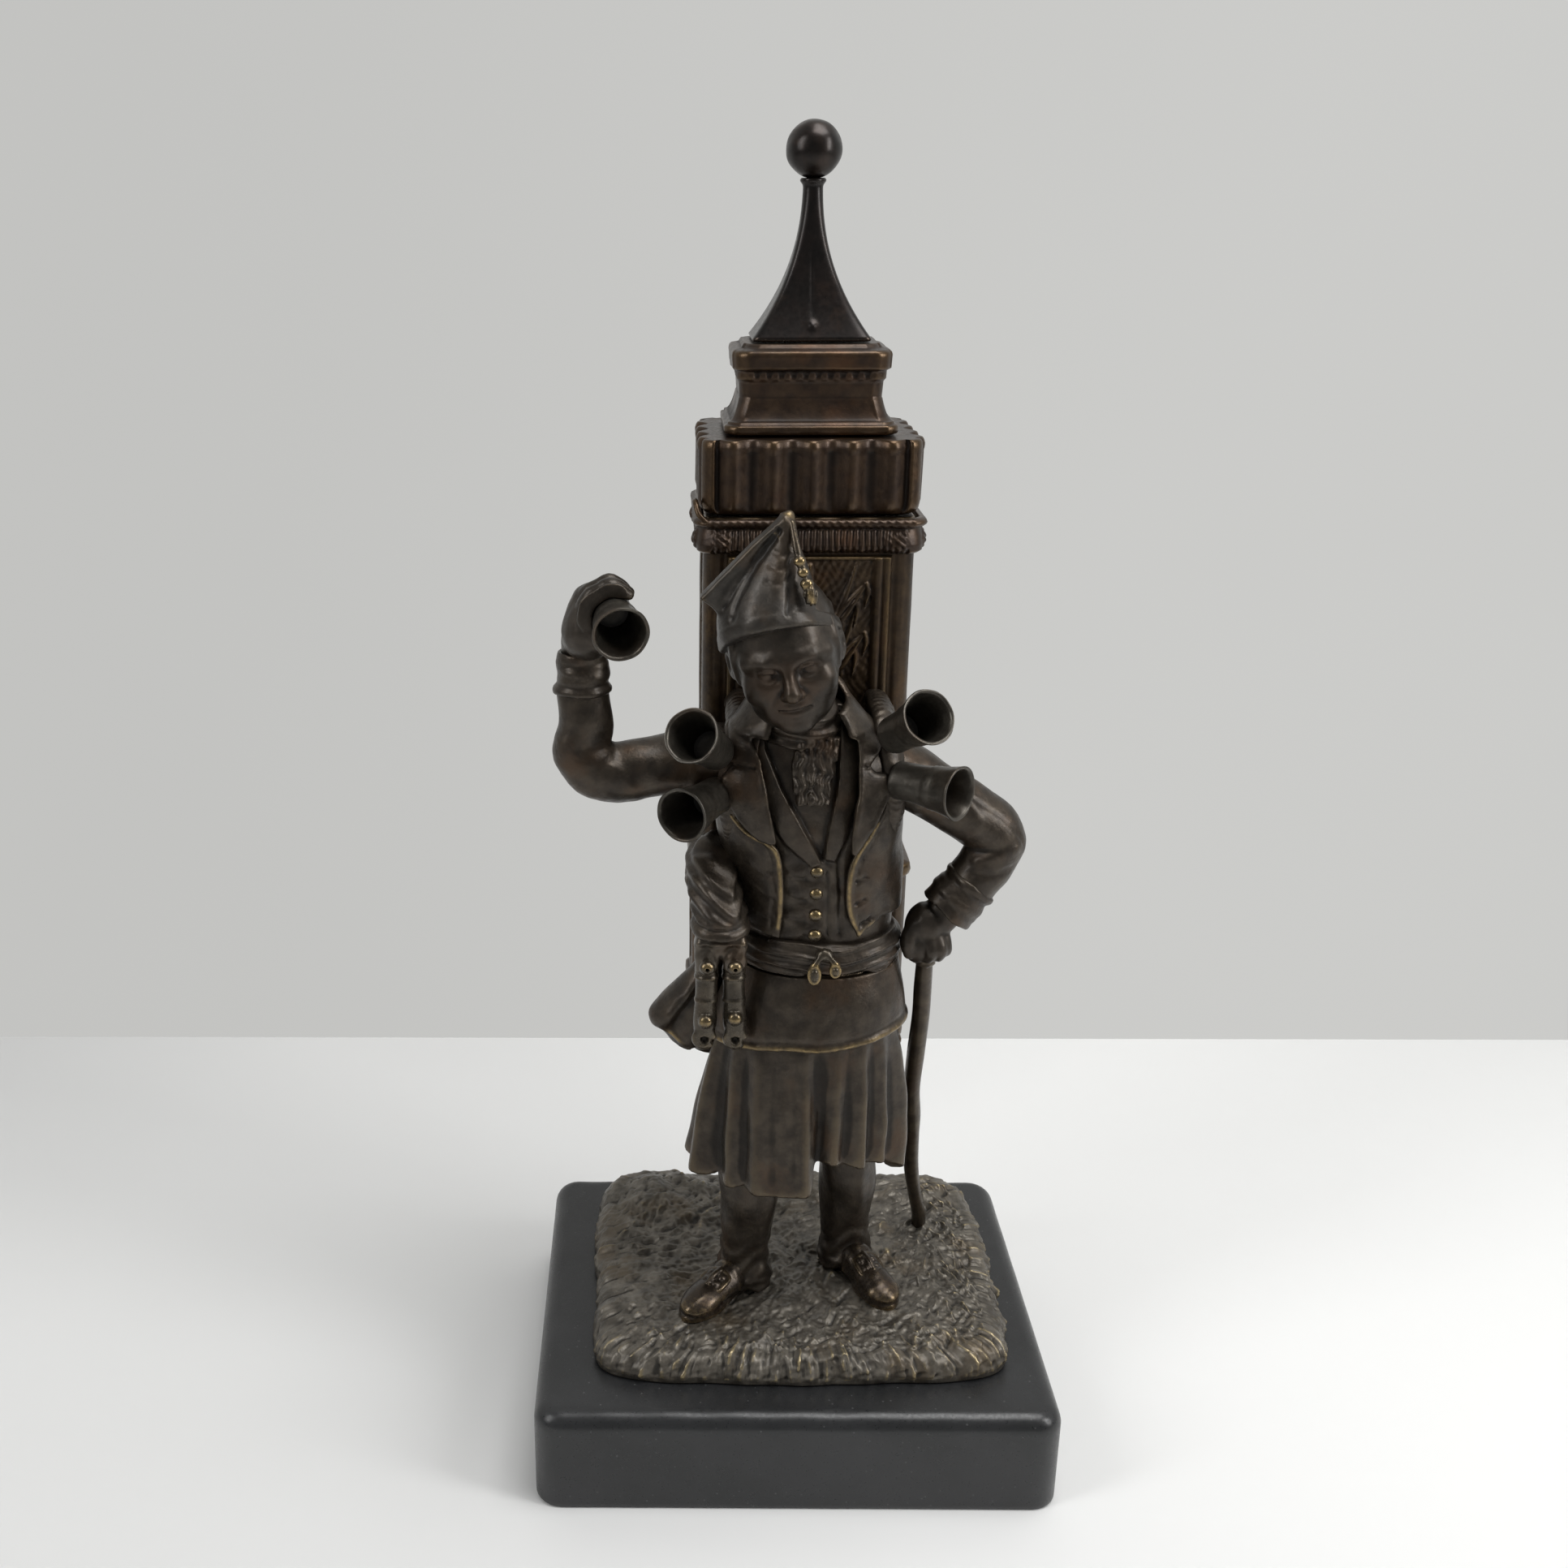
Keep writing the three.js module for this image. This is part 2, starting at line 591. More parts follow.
piece(figure, 'tank_body', RED_BRONZE, [mouldings([
  [TANK_BASE_HEIGHT, socleWidth, socleDepth, backShift],
  [socleTop - 1.4, socleWidth, socleDepth, backShift],
  [socleTop, TANK_WIDTH, TANK_DEPTH],
  [tankTop, TANK_WIDTH, TANK_DEPTH],
], TANK_CHAMFER)], {
  cut: [
    mouldings([[wellBase, innerWidth, innerDepth], [tankTop + 1, innerWidth, innerDepth]], TANK_CHAMFER),
    mouldings([
      [TANK_BASE_HEIGHT - 1, innerWidth, innerDepth],
      [wellBase - WELL_FLOOR, innerWidth, innerDepth],
    ], TANK_CHAMFER),
    ...tankSides.map((side) => sunkField(side, false, fieldLow, fieldHigh)),
    ...tankSides.map((side) => sunkField(side, true, socleFieldLow, socleFieldHigh)),
  ],
  raised: sprays,
});
const footTop = TANK_BASE_HEIGHT - CLEARANCE;
piece(figure, 'tank_foot', RED_BRONZE, [mouldings([
  [footTop - FOOT_THICKNESS, socleWidth - 8, socleDepth - 8, backShift],
  [footTop - FOOT_THICKNESS / 3, socleWidth - 1, socleDepth - 1, backShift],
  [footTop, socleWidth, socleDepth, backShift],
], TANK_CHAMFER)]);

// Cord and fringe round the shaft's top

piece(figure, 'tank_cord', BRONZE, [mouldings([
  [cordBase, TANK_WIDTH + CORD_PROJECTION, TANK_DEPTH + CORD_PROJECTION],
  [cordBase + CORD_HEIGHT * 0.35, TANK_WIDTH + 2 * CORD_PROJECTION, TANK_DEPTH + 2 * CORD_PROJECTION],
  [cordBase + CORD_HEIGHT * 0.85, TANK_WIDTH + 1.6 * CORD_PROJECTION, TANK_DEPTH + 1.6 * CORD_PROJECTION],
  [tankTop, TANK_WIDTH + 2 * CORD_PROJECTION, TANK_DEPTH + 2 * CORD_PROJECTION],
], TANK_CHAMFER + 0.4)], { clear: ['tank_body'] });

// Fluted capital: an outline of shallow scallops round a plate with the lid's mouth

function scalloped(width, depth, pitch, bulge) {
  const outline = [];
  const corners = cutCornered(width - 2 * bulge, depth - 2 * bulge, TANK_CHAMFER);
  corners.forEach((from, i) => {
    const to = corners[(i + 1) % corners.length];
    const side = to.clone().sub(from);
    const out = new THREE.Vector2(side.y, -side.x).normalize();
    const flutes = Math.max(1, Math.round(side.length() / pitch));
    const steps = side.length() > pitch ? flutes * 4 : 1;
    for (let k = 0; k < steps; k++) {
      const swell = steps > 1 ? bulge * Math.abs(Math.sin((Math.PI * flutes * k) / steps)) : 0;
      outline.push(from.clone().addScaledVector(side, k / steps).addScaledVector(out, swell));
    }
  });
  return outline;
}
const mouthWidth = LID_WIDTH - 2 * PLUG_INSET;
const mouthDepth = LID_DEPTH - 2 * PLUG_INSET;
const capitalOutline = scalloped(
  TANK_WIDTH + 2 * CAPITAL_PROJECTION, TANK_DEPTH + 2 * CAPITAL_PROJECTION, FLUTE_PITCH, FLUTE_DEPTH,
);
piece(figure, 'tank_capital', RED_BRONZE, [plate(capitalOutline, CAPITAL_HEIGHT, capitalBase)], {
  cut: [
    mouldings([
      [capitalBase - 1, innerWidth, innerDepth],
      [capitalTop - CAPITAL_TOP_PLATE, innerWidth, innerDepth],
    ], TANK_CHAMFER),
    mouldings([
      [capitalBase, mouthWidth, mouthDepth],
      [capitalTop + 1, mouthWidth, mouthDepth],
    ], TANK_CHAMFER),
  ],
});

// Lid: plug, stepped cornice, concave spire and ball

const lidRing = (height, inset) => [lidBase + height, LID_WIDTH - 2 * inset, LID_DEPTH - 2 * inset];
const plugInset = PLUG_INSET + PLUG_PLAY;
piece(figure, 'lid_cornice', RED_BRONZE, [mouldings([
  [lidBase - PLUG_DEPTH, LID_WIDTH - 2 * plugInset, LID_DEPTH - 2 * plugInset],
  [lidBase, LID_WIDTH - 2 * plugInset, LID_DEPTH - 2 * plugInset],
  lidRing(0, 0.3),
  lidRing(LID_HEIGHT * 0.1, 0),
  lidRing(LID_HEIGHT * 0.18, 0.35),
  lidRing(LID_HEIGHT * 0.3, 1.55),
  lidRing(LID_HEIGHT * 0.48, 2.4),
  lidRing(LID_HEIGHT * 0.64, 2.3),
  lidRing(LID_HEIGHT * 0.72, 1.75),
  lidRing(LID_HEIGHT * 0.9, 1.75),
  lidRing(LID_HEIGHT, 2.9),
], TANK_CHAMFER)]);

const spireBase = lidBase + LID_HEIGHT + CLEARANCE;
const ballMiddle = spireBase + SPIRE_HEIGHT + BALL_RADIUS - 0.6;
function spireRing(share) {
  const narrowing = (1 - share) ** 2.3;
  const tip = 2 * SPIRE_TIP_RADIUS;
  const width = tip + (SPIRE_WIDTH - tip) * narrowing;
  const depth = tip + (SPIRE_DEPTH - tip) * narrowing;
  const power = 2 + 14 * (1 - share) ** 2;
  return Array.from({ length: SPIRE_SIDES }, (_, i) => {
    const angle = (2 * Math.PI * (i + 0.5)) / SPIRE_SIDES;
    const [dx, dy] = onOutline(angle, width / 2, depth / 2, power);
    return new THREE.Vector3(TANK_X + dx, tankMiddleY + dy, spireBase + SPIRE_HEIGHT * share);
  });
}
piece(figure, 'lid_ball', BLACK_BRONZE, [
  ball(TANK_X, tankMiddleY, ballMiddle, BALL_RADIUS, BALL_RADIUS, BALL_RADIUS, 16),
]);
piece(figure, 'lid_spire', BLACK_BRONZE, [
  skin([0, 0.03, 0.12, 0.25, 0.4, 0.55, 0.7, 0.85, 1].map(spireRing)),
], { clear: ['lid_ball'] });

// Shoes: a low loft from heel to toe, with a buckle on the instep

function shoe(side, heel, toeOut) {
  const mirror = side === 'right' ? -1 : 1;
  const turn = new THREE.Quaternion().setFromAxisAngle(
    new THREE.Vector3(0, 0, 1), THREE.MathUtils.degToRad(mirror * toeOut - 90),
  );
  const length = SHOE_LENGTH;
  const place = { at: [heel[0], heel[1], 0], turn };
  piece(figure, `shoe_${side}`, BRONZE, [limb([
    [-1, 0, SHOE_HEIGHT * 0.42, SHOE_WIDTH * 0.6, SHOE_HEIGHT * 0.8],
    [length * 0.1, 0, SHOE_HEIGHT * 0.45, SHOE_WIDTH * 0.86, SHOE_HEIGHT],
    [length * 0.4, 0, SHOE_HEIGHT * 0.4, SHOE_WIDTH * 0.84, SHOE_HEIGHT],
    [length * 0.7, 0, SHOE_HEIGHT * 0.28, SHOE_WIDTH, SHOE_HEIGHT * 0.62],
    [length * 0.95, 0, SHOE_HEIGHT * 0.22, SHOE_WIDTH * 0.62, SHOE_HEIGHT * 0.44],
  ], { steps: 7, facing: [0, 0, 1], dome: 0.5 })], { ...place, clear: ['ground_plate'] });
  const buckle = block(
    length * 0.5, length * 0.5 + BUCKLE_WIDTH * 0.8, -BUCKLE_WIDTH / 2, BUCKLE_WIDTH / 2,
    SHOE_HEIGHT * 0.4, SHOE_HEIGHT * 0.72 + BUCKLE_THICKNESS,
  );
  piece(figure, `buckle_${side}`, RUBBED_BRONZE, [buckle], { ...place, clear: [`shoe_${side}`] });
}
shoe('right', RIGHT_HEEL, RIGHT_TOE_OUT);
shoe('left', LEFT_HEEL, LEFT_TOE_OUT);

// Pleated skirt: a solid core that the legs, the apron and the sash meet

const skirtTop = SASH_BASE_HEIGHT;
// The panel left of the slit hangs higher at the front
function shortPanel() {
  const outline = [
    [SLIT_X, HEM_HEIGHT - 1],
    [SLIT_X, HEM_HEIGHT + SLIT_RISE],
    [SLIT_X + 5, HEM_HEIGHT + SLIT_RISE],
    [SLIT_X + HEM_WIDTH * 0.42, HEM_HEIGHT + 0.5],
    [SLIT_X + HEM_WIDTH * 0.42, HEM_HEIGHT - 1],
  ].map(([x, z]) => new THREE.Vector2(x, z));
  return new THREE.ExtrudeGeometry(new THREE.Shape(outline), { depth: REACH, bevelEnabled: false })
    .rotateX(Math.PI / 2).translate(0, BODY_Y - HEM_DEPTH * 0.27, 0);
}
const pleat = (i, k) => (k < 3 ? (i % 2 === 0 ? PLEAT_DEPTH : -PLEAT_DEPTH) * (1 - k / 3) : 0);
piece(figure, 'skirt', BRONZE, [stack([
  [HEM_HEIGHT, HEM_X, BODY_Y + 1, HEM_WIDTH, HEM_DEPTH],
  [HEM_HEIGHT + (HIP_HEIGHT - HEM_HEIGHT) / 2, (HEM_X + HIP_X) / 2, BODY_Y + 0.6,
    (HEM_WIDTH + HIP_WIDTH) / 2 + 0.6, (HEM_DEPTH + HIP_DEPTH) / 2 + 0.4],
  [HIP_HEIGHT, HIP_X, BODY_Y, HIP_WIDTH, HIP_DEPTH],
  [skirtTop - 6, WAIST_X - 0.3, BODY_Y, WAIST_WIDTH + 2.4, WAIST_DEPTH + 2],
  [skirtTop, WAIST_X, BODY_Y, WAIST_WIDTH, WAIST_DEPTH],
], { sides: 2 * PLEATS, fold: pleat })], { clear: ['tank_body', 'tank_foot'], cut: [shortPanel()] });

// Trouser legs between the shoes and the skirt

function leg(side, heel, kneeShift) {
  const mirror = side === 'right' ? -1 : 1;
  const x = heel[0] + mirror * 1.2;
  const y = heel[1] - 1.6;
  piece(figure, `leg_${side}`, BRONZE, [limb([
    [x, y, ANKLE_HEIGHT - 1.6, ANKLE_WIDTH, ANKLE_WIDTH],
    [x, y, ANKLE_HEIGHT + 6, ANKLE_WIDTH + 0.6, ANKLE_WIDTH + 0.6],
    [x + kneeShift, y - 0.6, HEM_HEIGHT * 0.65, KNEE_WIDTH, KNEE_WIDTH],
    [x + 1.6 * kneeShift, y - 1.4, HEM_HEIGHT + 2, KNEE_WIDTH, KNEE_WIDTH],
  ], { steps: 6 })], { clear: [`shoe_${side}`, `buckle_${side}`, 'skirt', 'ground_plate'] });
}
leg('right', RIGHT_HEEL, 0.4);
leg('left', LEFT_HEEL, -0.3);

// Upper apron over the front of the skirt

const overSkirt = 2 * (APRON_THICKNESS + CLEARANCE);
piece(figure, 'apron', BRONZE, [stack([
  [APRON_HEM_HEIGHT, HIP_X + 0.1, BODY_Y, HIP_WIDTH - 0.6 + overSkirt, HIP_DEPTH - 0.4 + overSkirt],
  [(APRON_HEM_HEIGHT + skirtTop) / 2, WAIST_X - 0.3, BODY_Y,
    WAIST_WIDTH + 3 + overSkirt, WAIST_DEPTH + 2.8 + overSkirt],
  [skirtTop - CLEARANCE, WAIST_X, BODY_Y, WAIST_WIDTH + overSkirt - 0.6, WAIST_DEPTH + overSkirt - 0.6],
])], {
  clear: ['skirt', 'tank_body'],
  cut: [block(-REACH, REACH, TANK_FRONT_Y - 3, REACH, 0, REACH)],
});

// Waistcoat: the trunk from the skirt to the neck

const trunkLevels = (out) => [
  [skirtTop + CLEARANCE, WAIST_X, BODY_Y, WAIST_WIDTH + out, WAIST_DEPTH + out],
  [waistHeight, WAIST_X, BODY_Y, WAIST_WIDTH + out, WAIST_DEPTH + 0.4 + out],
  [(waistHeight + chestHeight) / 2, (WAIST_X + CHEST_X) / 2, BODY_Y - 0.2,
    (WAIST_WIDTH + CHEST_WIDTH) / 2 + out, (WAIST_DEPTH + CHEST_DEPTH) / 2 + out],
  [chestHeight, CHEST_X, BODY_Y - 0.4, CHEST_WIDTH + out, CHEST_DEPTH + out],
  [(chestHeight + shoulderHeight) / 2, CHEST_X - 1, BODY_Y - 0.4,
    CHEST_WIDTH + 1 + out, CHEST_DEPTH - 0.6 + out],
  [shoulderHeight, NECK_X + 0.5, BODY_Y - 0.4, SHOULDER_WIDTH + out, SHOULDER_DEPTH + out],
  [(shoulderHeight + neckHeight) / 2, NECK_X, BODY_Y - 0.8,
    (SHOULDER_WIDTH + NECK_WIDTH) / 2 + out, NECK_WIDTH + 2 + out],
];
const neckTop = [neckHeight, NECK_X, BODY_Y - 1.6, NECK_WIDTH, NECK_WIDTH];
piece(figure, 'waistcoat', BRONZE, [stack([...trunkLevels(0), neckTop])], { clear: ['tank_body'] });

// Sash wound round the waist, and the knot's two tassels

const sashOut = 2 * SASH_THICKNESS;
piece(figure, 'sash', BRONZE, [stack([
  [SASH_BASE_HEIGHT + CLEARANCE, WAIST_X, BODY_Y, WAIST_WIDTH + sashOut * 0.7, WAIST_DEPTH + sashOut * 0.7],
  [SASH_BASE_HEIGHT + SASH_HEIGHT * 0.3, WAIST_X, BODY_Y, WAIST_WIDTH + sashOut, WAIST_DEPTH + sashOut],
  [SASH_BASE_HEIGHT + SASH_HEIGHT * 0.75, WAIST_X, BODY_Y, WAIST_WIDTH + sashOut, WAIST_DEPTH + sashOut],
  [sashTop, WAIST_X, BODY_Y, WAIST_WIDTH + sashOut * 0.6, WAIST_DEPTH + sashOut * 0.6],
])], { clear: ['waistcoat', 'tank_body', 'skirt', 'apron'] });
const knotY = BODY_Y - WAIST_DEPTH / 2 - SASH_THICKNESS - 0.6;
const knotHeight = SASH_BASE_HEIGHT + SASH_HEIGHT * 0.84;
const tassel = (lean) => limb([
  [KNOT_X, knotY, knotHeight, 2 * TASSEL_RADIUS, 2 * TASSEL_RADIUS],
  [KNOT_X + lean * 0.6, knotY - 0.3, knotHeight - TASSEL_LENGTH * 0.5, 2 * TASSEL_RADIUS, 2 * TASSEL_RADIUS],
  [KNOT_X + lean, knotY, knotHeight - TASSEL_LENGTH, 2.6 * TASSEL_RADIUS, 2 * TASSEL_RADIUS],
], { sides: 8, steps: 3, facing: [0, -1, 0], dome: 0.5 });
piece(figure, 'sash_tassels', RUBBED_BRONZE, [
  ball(
    KNOT_X, knotY - 0.2, knotHeight,
    1.7 * TASSEL_RADIUS, 1.15 * TASSEL_RADIUS, 1.4 * TASSEL_RADIUS, 10,
  ),
  tassel(-1.6),
  tassel(1.8),
], { clear: ['sash', 'apron', 'skirt'] });

// Buttons, joined by a thin placket strip so that they are one casting

const trunkFrontY = (height) => {
  const share = (height - waistHeight) / (chestHeight - waistHeight);
  return BODY_Y - 0.4 - (WAIST_DEPTH + (CHEST_DEPTH - WAIST_DEPTH) * share) / 2;
};
const topButton = waistHeight + BUTTON_PITCH * (BUTTON_COUNT - 1);
const buttons = Array.from({ length: BUTTON_COUNT }, (_, k) => {
  const height = waistHeight + k * BUTTON_PITCH;
  return ball(BUTTON_X, trunkFrontY(height), height, BUTTON_RADIUS, 1.5, BUTTON_RADIUS, 8);
});
const placket = block(
  BUTTON_X - 0.8, BUTTON_X + 0.8, trunkFrontY(topButton) - 0.6, BODY_Y - 2, waistHeight - 1, topButton + 1,
);
piece(figure, 'waistcoat_buttons', RUBBED_BRONZE, [placket, ...buttons], {
  clear: ['waistcoat', 'sash', 'sash_tassels'],
});

// Short open jacket, cut away over the front of the waistcoat

const overTrunk = 2 * (JACKET_THICKNESS + CLEARANCE);
function frontOpening() {
  const half = JACKET_OPENING / 2;
  const x = WAIST_X;
  const outline = [
    [x - half, sashTop - 2],
    [x + half, sashTop - 2],
    [x + half - 1.4, waistHeight + 9],
    [x + half + 1.6, chestHeight],
    [x + half - 2, shoulderHeight + 2],
    [NECK_X + NECK_WIDTH / 2, neckHeight + 4],
    [NECK_X - NECK_WIDTH / 2, neckHeight + 4],
    [x - half - 3.4, shoulderHeight + 2],
    [x - half - 3.2, chestHeight - 3],
    [x - half - 0.4, waistHeight + 10],
  ].map(([px, pz]) => new THREE.Vector2(px, pz));
  const depth = REACH + BODY_Y - 2;
  return new THREE.ExtrudeGeometry(new THREE.Shape(outline), { depth, bevelEnabled: false })
    .rotateX(Math.PI / 2).translate(0, BODY_Y - 2, 0);
}
const jacketLevels = trunkLevels(overTrunk);
jacketLevels[0][0] = sashTop + CLEARANCE;
jacketLevels[1][0] = sashTop + 2;
piece(figure, 'jacket', BRONZE, [stack([
  ...jacketLevels,
  [neckHeight - 0.5, NECK_X, BODY_Y - 1.2, NECK_WIDTH + 3, NECK_WIDTH + 2],
])], { clear: ['waistcoat', 'waistcoat_buttons', 'tank_body'], cut: [frontOpening()] });

// Neckcloth: a wrap round the neck and the ends that hang in the opening

const cravatY = BODY_Y - CHEST_DEPTH / 2;
piece(figure, 'cravat', BRONZE, [
  stack([
    [neckHeight - 4, NECK_X, BODY_Y - 1.4, NECK_WIDTH + 4, NECK_WIDTH + 3.4],
    [neckHeight - 1.4, NECK_X, BODY_Y - 2, NECK_WIDTH + 3.6, NECK_WIDTH + 3.4],
    [neckHeight + 0.6, NECK_X - 0.2, BODY_Y - 2.2, NECK_WIDTH + 1, NECK_WIDTH + 1],
  ], { sides: 16 }),
  limb([
    [NECK_X, cravatY + 2.6, neckHeight - 3, CRAVAT_WIDTH, 4],
    [NECK_X + 0.8, cravatY + 0.2, neckHeight - 3 - CRAVAT_DROP * 0.45, CRAVAT_WIDTH, 3],
    [BUTTON_X - 0.6, cravatY - 0.4, neckHeight - 3 - CRAVAT_DROP, CRAVAT_WIDTH * 0.6, 2.4],
  ], { sides: 10, steps: 5, dome: 0.5 }),
], { clear: ['waistcoat', 'jacket', 'waistcoat_buttons'] });

// Turned-down collar with lapels, one band round the neck

const lapelFoot = chestHeight - 3;
piece(figure, 'jacket_collar', BRONZE, [limb([
  [CHEST_X - 7.4, trunkFrontY(lapelFoot) - 0.4, lapelFoot, LAPEL_WIDTH * 0.5, LAPEL_THICKNESS],
  [CHEST_X - 8.4, BODY_Y - 8.6, chestHeight + 5, LAPEL_WIDTH, LAPEL_THICKNESS],
  [NECK_X - 7.6, BODY_Y - 4.6, shoulderHeight + 4, LAPEL_WIDTH, LAPEL_THICKNESS],
  [NECK_X, BODY_Y + 5, neckHeight - 0.4, LAPEL_WIDTH, LAPEL_THICKNESS],
  [NECK_X + 7.6, BODY_Y - 4.6, shoulderHeight + 4, LAPEL_WIDTH, LAPEL_THICKNESS],
  [CHEST_X + 8.4, BODY_Y - 8.6, chestHeight + 5, LAPEL_WIDTH, LAPEL_THICKNESS],
  [CHEST_X + 8.4, trunkFrontY(lapelFoot) - 0.2, lapelFoot, LAPEL_WIDTH * 0.5, LAPEL_THICKNESS],
], { sides: 8, steps: 18, facing: [0, -0.6, 1] })], {
  clear: ['waistcoat', 'jacket', 'cravat', 'tank_body', 'waistcoat_buttons'],
});

// Sleeves, cuffs and hands

const arm = 2 * ARM_RADIUS;
const forearm = 2 * FOREARM_RADIUS;
const clothed = ['jacket', 'waistcoat', 'jacket_collar', 'tank_body'];
const between = (a, b, share) => a.map((value, i) => value + (b[i] - value) * share);
piece(figure, 'right_sleeve', BRONZE, [limb([
  [...rightShoulder, arm + 1, arm + 1],
  [...between(rightShoulder, rightElbow, 0.5), arm - 0.6, arm - 0.6],
  [...between(rightShoulder, rightElbow, 0.86), arm, arm],
  [rightElbow[0] - 1, rightElbow[1], rightElbow[2] + 3.4, forearm + 1.2, forearm + 0.8],
  [...between(rightElbow, rightWrist, 0.6), forearm, forearm],
  [...rightWrist, forearm - 0.6, forearm - 0.6],
], { steps: 14 })], { clear: clothed });
const rightCuffTop = [rightWrist[0], rightWrist[1], rightWrist[2] + CLEARANCE + CUFF_LENGTH];
piece(figure, 'right_cuff', BRONZE, [limb([
  [rightWrist[0], rightWrist[1], rightWrist[2] + CLEARANCE, 2 * CUFF_RADIUS - 0.8, 2 * CUFF_RADIUS - 0.8],
  [...between(rightWrist, rightCuffTop, 0.5), 2 * CUFF_RADIUS - 0.4, 2 * CUFF_RADIUS - 0.4],
  [...rightCuffTop, 2 * CUFF_RADIUS, 2 * CUFF_RADIUS],
], { steps: 3 })]);

// Drinking cups: flared, open and turned from one profile

function cupProfile() {
  const outer = (share) => CUP_NECK_RADIUS + (CUP_MOUTH_RADIUS - CUP_NECK_RADIUS) * share ** 2;
  const shares = [0, 0.35, 0.7, 1];
  const inner = shares.map((share) => CUP_FLOOR + (CUP_LENGTH - CUP_FLOOR) * share);
  const points = [[0, 0], ...shares.map((share) => [outer(share), CUP_LENGTH * share])];
  for (const z of inner.reverse()) points.push([outer(z / CUP_LENGTH) - CUP_WALL, z]);
  points.push([0, CUP_FLOOR]);
  return points.map(([r, z]) => new THREE.Vector2(r, z));
}

function cup(name, mouth, aim, clear) {
  const direction = new THREE.Vector3(...aim).normalize();
  const turn = new THREE.Quaternion().setFromUnitVectors(new THREE.Vector3(0, 0, 1), direction);
  const foot = new THREE.Vector3(...mouth).addScaledVector(direction, -CUP_LENGTH);
  const form = new THREE.LatheGeometry(cupProfile(), 14).rotateX(Math.PI / 2);
  piece(figure, name, DARK_BRONZE, [form], { at: foot.toArray(), turn, clear });
}
cup('raised_cup', offset(rightWrist, RAISED_CUP[0]), RAISED_CUP[1], ['right_cuff']);
piece(figure, 'right_hand', DARK_BRONZE, [
  ball(
    rightWrist[0] + 1.8, rightWrist[1] - 1, rightCuffTop[2] + 6.4,
    HAND_RADIUS + 0.4, HAND_RADIUS, HAND_RADIUS + 0.4,
  ),
  limb([
    [...rightCuffTop.slice(0, 2), rightCuffTop[2] + CLEARANCE, 6.4, 5.6],
    [rightWrist[0] + 1, rightWrist[1], rightCuffTop[2] + 4, 7.4, 6.6],
  ], { sides: 12, steps: 2 }),
], { clear: ['raised_cup', 'right_cuff'] });

piece(figure, 'left_sleeve', BRONZE, [limb([
  [...leftShoulder, arm + 1, arm + 1],
  [...between(leftShoulder, leftElbow, 0.5), arm - 0.4, arm - 0.4],
  [...between(leftShoulder, leftElbow, 0.86), arm - 0.2, arm - 0.2],
  [leftElbow[0] + 0.6, leftElbow[1], leftElbow[2] - 2, forearm + 1, forearm + 0.8],
  [...leftWrist, forearm, forearm],
], { steps: 12 })], { clear: clothed });
const reach = new THREE.Vector3(...leftHand).sub(new THREE.Vector3(...leftWrist)).normalize();
const alongReach = (distance) => new THREE.Vector3(...leftWrist).addScaledVector(reach, distance).toArray();
piece(figure, 'left_cuff', BRONZE, [limb([
  [...alongReach(0), 2 * CUFF_RADIUS - 0.8, 2 * CUFF_RADIUS - 0.8],
  [...alongReach(CUFF_LENGTH / 2), 2 * CUFF_RADIUS - 0.5, 2 * CUFF_RADIUS - 0.5],
  [...alongReach(CUFF_LENGTH), 2 * CUFF_RADIUS - 0.2, 2 * CUFF_RADIUS - 0.2],
], { steps: 3 })], { clear: ['left_sleeve', 'jacket', 'sash'] });
piece(figure, 'left_hand', DARK_BRONZE, [
  limb([
    [...alongReach(CUFF_LENGTH + CLEARANCE), 6, 6],
    [...between(alongReach(CUFF_LENGTH), leftHand, 0.6), 7, 6.4],
    [...leftHand, 6.2, 6.4],
    [leftHand[0] - 1.8, leftHand[1] + 0.2, leftHand[2] - 3.6, 4.8, 5.4],
  ], { sides: 12, steps: 5, dome: 0.6 }),
], { clear: ['left_cuff', 'sash', 'jacket', 'skirt', 'apron', 'tank_body'] });

// Walking stick from the hand to the terrain

piece(figure, 'walking_stick', RUBBED_BRONZE, [limb([
  [leftHand[0] + 1.2, leftHand[1] + 1.2, leftHand[2] - 2, 3 * STICK_RADIUS, 3 * STICK_RADIUS],
  [leftHand[0] + 0.8, leftHand[1] + 4.2, leftHand[2] * 0.78, 2.2 * STICK_RADIUS, 2.2 * STICK_RADIUS],
  [leftHand[0] + 0.4, leftHand[1] + 8.2, leftHand[2] * 0.55, 2 * STICK_RADIUS, 2 * STICK_RADIUS],
  [leftHand[0] + 1.4, STICK_FOOT[1] - 7, leftHand[2] * 0.3, 1.8 * STICK_RADIUS, 1.8 * STICK_RADIUS],
  [STICK_FOOT[0], STICK_FOOT[1], -0.6, 2 * STICK_RADIUS, 2 * STICK_RADIUS],
], { sides: 8, steps: 12 })], { clear: ['left_hand', 'ground_plate', 'skirt', 'sash', 'apron'] });

// Straps over the shoulders to the tank

